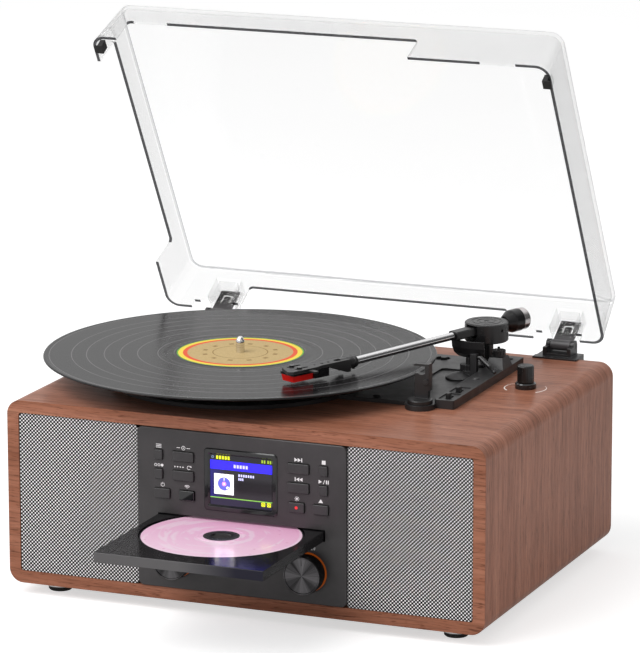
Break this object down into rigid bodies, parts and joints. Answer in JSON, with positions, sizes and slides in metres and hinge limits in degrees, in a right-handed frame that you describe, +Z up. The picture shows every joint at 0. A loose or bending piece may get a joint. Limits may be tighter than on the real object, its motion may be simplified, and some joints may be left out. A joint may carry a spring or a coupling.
{
  "type": "stereo music centre",
  "caption": "Walnut-cased music centre: turntable with tonearm under a hinged clear cover, pull-out disc tray, colour display, keys, knobs and cloth speaker grilles.",
  "frame": {"origin": "on the floor, under the middle of the whole part's box in the pose as shown: cover open and disc tray out", "axes": "+X to the right seen from the front, +Y from the front panel to the back, +Z up"},
  "size_m": [0.3986, 0.4364, 0.4245],
  "materials": {
    "walnut": "satin veneer",
    "black_plastic": "fine satin",
    "gloss_black": "polished",
    "grey_plastic": "satin",
    "grille_cloth": "woven",
    "board": "raw board",
    "paper_cone": "pulp",
    "circuit": "lacquered",
    "dark_window": "polished",
    "light_ring": "translucent",
    "turned_metal": "spun",
    "chrome": "polished",
    "steel": "ground",
    "silver": "satin",
    "rubber": "matt",
    "felt": "felt",
    "vinyl": "pressed",
    "disc": "printed",
    "clear": "clear moulded",
    "red_plastic": "moulded"
  },
  "bodies": {
    "cabinet": {"cabinet_shell": "walnut", "foot_rings": "chrome", "foot_pads": "rubber", "front_baffle": "board", "speaker_grilles": "grille_cloth", "speaker_drivers": "paper_cone", "front_panel": "black_plastic", "display_bezel": "gloss_black", "display_windows": "dark_window", "knob_light_rings": "light_ring", "electronics": "circuit", "rear_panel": "black_plastic", "rear_sockets": "black_plastic", "cd_chassis": "black_plastic", "deck_plate": "black_plastic", "platter_motor": "steel", "drive_belt": "rubber", "bearing_housing": "steel", "arm_pillar": "silver", "lift_guide": "black_plastic", "rest_post": "black_plastic", "top_control": "chrome", "hinge_bases": "grey_plastic"},
    "lid": {"dust_cover": "clear", "lid_bumpers": "rubber", "hinge_blades": "steel"},
    "turntable": {"platter": "silver", "slip_mat": "felt", "record": "vinyl", "spindle": "steel"},
    "motor_pulley": {"motor_pulley": "silver"},
    "arm_yoke": {"arm_yoke": "silver"},
    "tonearm": {"arm_tube": "silver", "headshell": "silver", "cartridge": "black_plastic", "stylus": "red_plastic"},
    "counterweight": {"counterweight": "black_plastic"},
    "lift_cup": {"lift_cup": "black_plastic"},
    "cue_lever": {"cue_lever": "black_plastic"},
    "rest_clip": {"rest_clip": "black_plastic"},
    "speed_switch": {"speed_switch": "black_plastic"},
    "autostop_switch": {"autostop_switch": "black_plastic"},
    "cd_tray": {"cd_tray": "gloss_black"},
    "compact_disc": {"compact_disc": "disc"},
    "loading_gear": {"loading_gear": "grey_plastic"},
    "volume_knob": {"volume_knob": "turned_metal"},
    "tuning_knob": {"tuning_knob": "turned_metal"},
    "top_knob": {"top_knob": "black_plastic"},
    "antiskate_dial": {"antiskate_dial": "black_plastic"},
    "menu_button": {"menu_button": "black_plastic"},
    "info_button": {"info_button": "black_plastic"},
    "mode_button": {"mode_button": "black_plastic"},
    "preset_button": {"preset_button": "black_plastic"},
    "standby_button": {"standby_button": "black_plastic"},
    "next_button": {"next_button": "black_plastic"},
    "stop_button": {"stop_button": "black_plastic"},
    "previous_button": {"previous_button": "black_plastic"},
    "play_button": {"play_button": "black_plastic"},
    "light_button": {"light_button": "black_plastic"},
    "eject_button": {"eject_button": "black_plastic"}
  },
  "joints": [
    {"name": "lid_hinge", "type": "hinge", "parent": "cabinet", "child": "lid", "pos_m": [0.0073, 0.18982, 0.159], "axis": [1, 0, 0], "range_deg": [0, 60]},
    {"name": "platter_spin", "type": "hinge", "parent": "cabinet", "child": "turntable", "pos_m": [-0.0488, 0.02492, 0.1673], "axis": [0, 0, -1], "continuous": true},
    {"name": "pulley_spin", "type": "hinge", "parent": "cabinet", "child": "motor_pulley", "pos_m": [-0.08895, 0.08226, 0.1589], "axis": [0, 0, -1], "continuous": true},
    {"name": "arm_swing", "type": "hinge", "parent": "cabinet", "child": "arm_yoke", "pos_m": [0.1143, 0.12632, 0.1834], "axis": [0, 0, -1], "range_deg": [-24.4, 14.5]},
    {"name": "arm_lift", "type": "hinge", "parent": "arm_yoke", "child": "tonearm", "pos_m": [0.1143, 0.12632, 0.1834], "axis": [-0.9063, 0.4226, 0], "range_deg": [0, 2.6]},
    {"name": "counterweight_turn", "type": "hinge", "parent": "tonearm", "child": "counterweight", "pos_m": [0.1143, 0.12632, 0.1834], "axis": [-0.4224, -0.9059, -0.0297], "range_deg": [-180, 180]},
    {"name": "cue_lever_turn", "type": "hinge", "parent": "cabinet", "child": "cue_lever", "pos_m": [0.1218, 0.09032, 0.168], "axis": [-1, 0, 0], "range_deg": [0, 61]},
    {"name": "lift_cup_slide", "type": "slide", "parent": "cabinet", "child": "lift_cup", "axis": [0, 0, 1], "range_m": [0, 0.0012]},
    {"name": "rest_clip_turn", "type": "hinge", "parent": "cabinet", "child": "rest_clip", "pos_m": [0.11751, -0.00917, 0.17145], "axis": [0, 1, 0], "range_deg": [0, 50]},
    {"name": "speed_switch_slide", "type": "slide", "parent": "cabinet", "child": "speed_switch", "axis": [0, 1, 0], "range_m": [0, 0.005]},
    {"name": "autostop_switch_slide", "type": "slide", "parent": "cabinet", "child": "autostop_switch", "axis": [0, 1, 0], "range_m": [0, 0.005]},
    {"name": "tray_slide", "type": "slide", "parent": "cabinet", "child": "cd_tray", "axis": [0, 1, 0], "range_m": [0, 0.1135]},
    {"name": "disc_spin", "type": "hinge", "parent": "cd_tray", "child": "compact_disc", "pos_m": [0.0073, -0.14018, 0.0745], "axis": [0, 0, 1], "continuous": true},
    {"name": "loading_gear_turn", "type": "hinge", "parent": "cabinet", "child": "loading_gear", "pos_m": [0.05693, -0.08418, 0.0682], "axis": [0, 0, 1], "range_deg": [-5, 727.6]},
    {"name": "volume_knob_turn", "type": "hinge", "parent": "cabinet", "child": "volume_knob", "pos_m": [-0.0457, -0.10418, 0.0428], "axis": [0, 1, 0], "range_deg": [-140, 140]},
    {"name": "tuning_knob_turn", "type": "hinge", "parent": "cabinet", "child": "tuning_knob", "pos_m": [0.0603, -0.10418, 0.0428], "axis": [0, 1, 0], "continuous": true},
    {"name": "top_knob_turn", "type": "hinge", "parent": "cabinet", "child": "top_knob", "pos_m": [0.1641, 0.07782, 0.151], "axis": [0, 0, -1], "range_deg": [-135, 135]},
    {"name": "antiskate_dial_turn", "type": "hinge", "parent": "cabinet", "child": "antiskate_dial", "pos_m": [0.13085, 0.10882, 0.154], "axis": [0, 0, -1], "range_deg": [-110, 110]},
    {"name": "menu_button_press", "type": "slide", "parent": "cabinet", "child": "menu_button", "axis": [0, 1, 0], "range_m": [0, 0.0008], "stiffness_N_per_m": 100, "springref_m": -0.0008},
    {"name": "info_button_press", "type": "slide", "parent": "cabinet", "child": "info_button", "axis": [0, 1, 0], "range_m": [0, 0.0008], "stiffness_N_per_m": 100, "springref_m": -0.0008},
    {"name": "mode_button_press", "type": "slide", "parent": "cabinet", "child": "mode_button", "axis": [0, 1, 0], "range_m": [0, 0.0008], "stiffness_N_per_m": 100, "springref_m": -0.0008},
    {"name": "preset_button_press", "type": "slide", "parent": "cabinet", "child": "preset_button", "axis": [0, 1, 0], "range_m": [0, 0.0008], "stiffness_N_per_m": 100, "springref_m": -0.0008},
    {"name": "standby_button_press", "type": "slide", "parent": "cabinet", "child": "standby_button", "axis": [0, 1, 0], "range_m": [0, 0.0008], "stiffness_N_per_m": 100, "springref_m": -0.0008},
    {"name": "next_button_press", "type": "slide", "parent": "cabinet", "child": "next_button", "axis": [0, 1, 0], "range_m": [0, 0.0008], "stiffness_N_per_m": 100, "springref_m": -0.0008},
    {"name": "stop_button_press", "type": "slide", "parent": "cabinet", "child": "stop_button", "axis": [0, 1, 0], "range_m": [0, 0.0008], "stiffness_N_per_m": 100, "springref_m": -0.0008},
    {"name": "previous_button_press", "type": "slide", "parent": "cabinet", "child": "previous_button", "axis": [0, 1, 0], "range_m": [0, 0.0008], "stiffness_N_per_m": 100, "springref_m": -0.0008},
    {"name": "play_button_press", "type": "slide", "parent": "cabinet", "child": "play_button", "axis": [0, 1, 0], "range_m": [0, 0.0008], "stiffness_N_per_m": 100, "springref_m": -0.0008},
    {"name": "light_button_press", "type": "slide", "parent": "cabinet", "child": "light_button", "axis": [0, 1, 0], "range_m": [0, 0.0008], "stiffness_N_per_m": 100, "springref_m": -0.0008},
    {"name": "eject_button_press", "type": "slide", "parent": "cabinet", "child": "eject_button", "axis": [0, 1, 0], "range_m": [0, 0.0008], "stiffness_N_per_m": 100, "springref_m": -0.0008}
  ],
  "couplings": [
    {"joint": "pulley_spin", "follows": "platter_spin", "ratio": 8.5},
    {"joint": "arm_lift", "follows": "lift_cup_slide", "rad_per_m": 36.361},
    {"joint": "cue_lever_turn", "follows": "lift_cup_slide", "rad_per_m": 872.66},
    {"joint": "loading_gear_turn", "follows": "tray_slide", "rad_per_m": 111.11}
  ]
}
